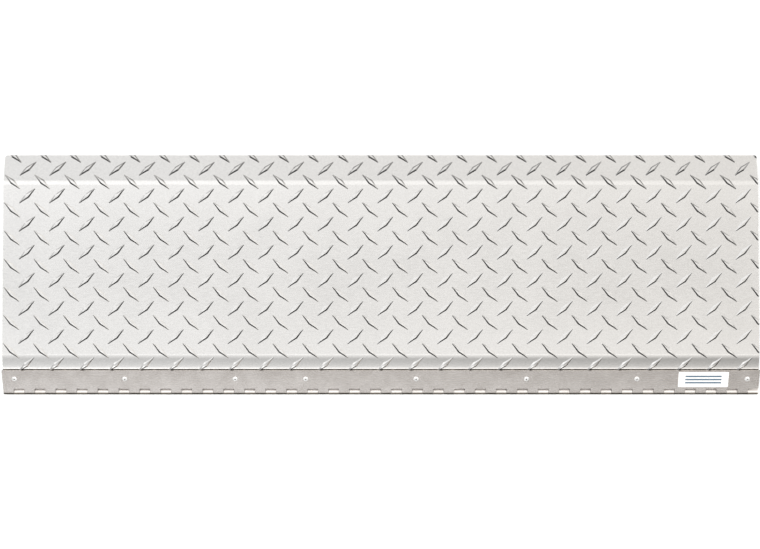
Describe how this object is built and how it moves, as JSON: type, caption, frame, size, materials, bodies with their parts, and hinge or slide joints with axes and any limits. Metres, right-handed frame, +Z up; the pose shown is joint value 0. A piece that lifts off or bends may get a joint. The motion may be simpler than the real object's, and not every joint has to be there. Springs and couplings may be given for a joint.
{
  "type": "hinged ramp kick plate",
  "caption": "Bent tread plate riveted to a continuous hinge, bridging the step at the foot of a ramp.",
  "frame": {"origin": "on the floor, under the middle of the bounding box, as the part lies with its mounting leaf flat", "axes": "+X along the hinge pin, +Y from the hinge to the tip of the plate, +Z up"},
  "size_m": [0.9144, 0.2904, 0.0256],
  "materials": {
    "tread_aluminium": "bright rolled tread plate, lightly scuffed",
    "leaf_metal": "dull rolled hinge strip",
    "pin_steel": "plain drawn pin",
    "rivet_aluminium": "smooth domed head",
    "mandrel_steel": "dark broken stem",
    "label_paper": "matt white label with plain coloured bars"
  },
  "bodies": {
    "plate_side": {"tread_plate": "tread_aluminium", "plate_leaf": "leaf_metal", "hinge_pin": "pin_steel", "rivet_1": "rivet_aluminium", "rivet_2": "rivet_aluminium", "rivet_3": "rivet_aluminium", "rivet_4": "rivet_aluminium", "rivet_5": "rivet_aluminium", "rivet_6": "rivet_aluminium", "rivet_7": "rivet_aluminium", "rivet_8": "rivet_aluminium", "rivet_mandrel_1": "mandrel_steel", "rivet_mandrel_2": "mandrel_steel", "rivet_mandrel_3": "mandrel_steel", "rivet_mandrel_4": "mandrel_steel", "rivet_mandrel_5": "mandrel_steel", "rivet_mandrel_6": "mandrel_steel", "rivet_mandrel_7": "mandrel_steel", "rivet_mandrel_8": "mandrel_steel", "label": "label_paper"},
    "ramp_side": {"mount_leaf": "leaf_metal"}
  },
  "joints": [
    {"name": "hinge_swing", "type": "hinge", "parent": "plate_side", "child": "ramp_side", "pos_m": [0, -0.14211, 0.00315], "axis": [-1, 0, 0], "range_deg": [-14, 235]}
  ]
}
